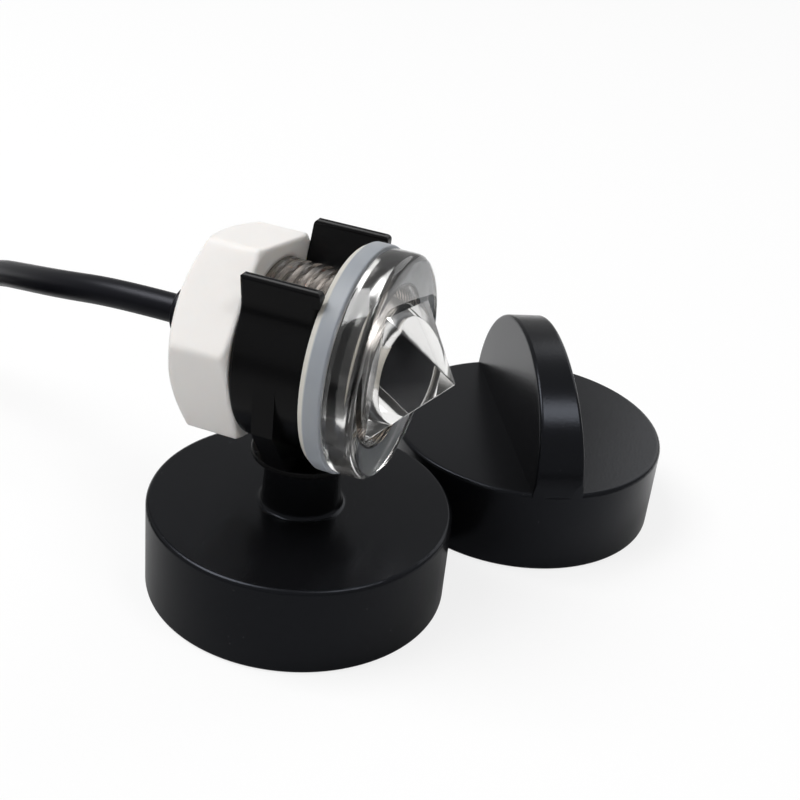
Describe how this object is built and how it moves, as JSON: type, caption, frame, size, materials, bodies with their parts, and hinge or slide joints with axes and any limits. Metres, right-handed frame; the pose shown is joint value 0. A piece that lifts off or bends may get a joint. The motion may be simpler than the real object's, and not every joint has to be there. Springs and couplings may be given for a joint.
{
  "type": "optical liquid level sensor with magnetic holder",
  "caption": "Clear prism-tipped level sensor with gasket, hex nut and cable, clipped on a stem on a round magnetic holder, with its loose finned outer magnet half.",
  "frame": {"origin": "centre of the inner holder's underside, the face that its magnet pulls against the tank wall", "axes": "+Z out of the inner holder, along the stem towards the clip; +X along the sensor's axis, from the nut to the prism; the outer holder lies towards +X +Y"},
  "size_m": [0.1546, 0.0926, 0.0492],
  "materials": {
    "black_abs": "moulded black ABS with a fine satin grain",
    "black_nylon": "moulded black nylon, slightly glossier than the holders",
    "magnet_nickel": "nickel-plated sintered magnet",
    "stainless": "stainless self-tapping screw",
    "clear_polymer": "clear polished polysulfone",
    "silicone": "milky translucent silicone",
    "white_nylon": "natural white nylon, satin",
    "black_insert": "matt black light shield",
    "lens_blue": "blue-tinted epoxy lens of an infrared emitter",
    "lens_dark": "dark daylight-blocking epoxy lens",
    "board_green": "green solder mask",
    "chip_black": "moulded component packages",
    "core_red": "red core insulation",
    "core_black": "black core insulation",
    "core_yellow": "yellow core insulation",
    "cable_pvc": "soft black PVC jacket, satin",
    "gland_pvc": "moulded black PVC",
    "strap_black": "black hook-and-loop strap",
    "jack_metal": "nickel-plated brass contacts",
    "insulator_black": "black insulating rings"
  },
  "bodies": {
    "inner_holder": {"inner_casing": "black_abs", "inner_magnet": "magnet_nickel", "inner_base_cover": "black_abs", "clip_screw": "stainless", "sensor_clip": "black_nylon", "cable_lead": "cable_pvc", "cable_coil": "cable_pvc", "cable_tail": "cable_pvc", "cable_tie": "strap_black", "plug_boot": "gland_pvc", "plug_grip": "gland_pvc", "jack_sleeve": "jack_metal", "jack_insulator_sleeve": "insulator_black", "jack_ring": "jack_metal", "jack_insulator_tip": "insulator_black", "jack_tip": "jack_metal"},
    "sensor": {"sensor_body": "clear_polymer", "flange_gasket": "silicone", "optics_holder": "black_insert", "infrared_emitter": "lens_blue", "light_receiver": "lens_dark", "circuit_board": "board_green", "output_transistor": "chip_black", "pull_up_resistor": "chip_black", "emitter_resistor": "chip_black", "core_wire_supply": "core_red", "core_wire_ground": "core_black", "core_wire_signal": "core_yellow", "jacket_stub": "cable_pvc", "cable_gland": "gland_pvc"},
    "nut": {"hex_nut": "white_nylon"},
    "outer_holder": {"outer_casing": "black_abs", "outer_magnet": "magnet_nickel", "outer_base_cover": "black_abs"}
  },
  "joints": [
    {"name": "sensor_turn", "type": "hinge", "parent": "inner_holder", "child": "sensor", "pos_m": [0, 0, 0.0349], "axis": [1, 0, 0], "range_deg": [-180, 180]},
    {"name": "nut_spin", "type": "hinge", "parent": "sensor", "child": "nut", "pos_m": [0, 0, 0.0349], "axis": [1, 0, 0], "range_deg": [-720, 0]},
    {"name": "outer_holder_pull", "type": "slide", "parent": "inner_holder", "child": "outer_holder", "axis": [0.497, 0.8678, 0], "range_m": [0, 0.06]}
  ]
}
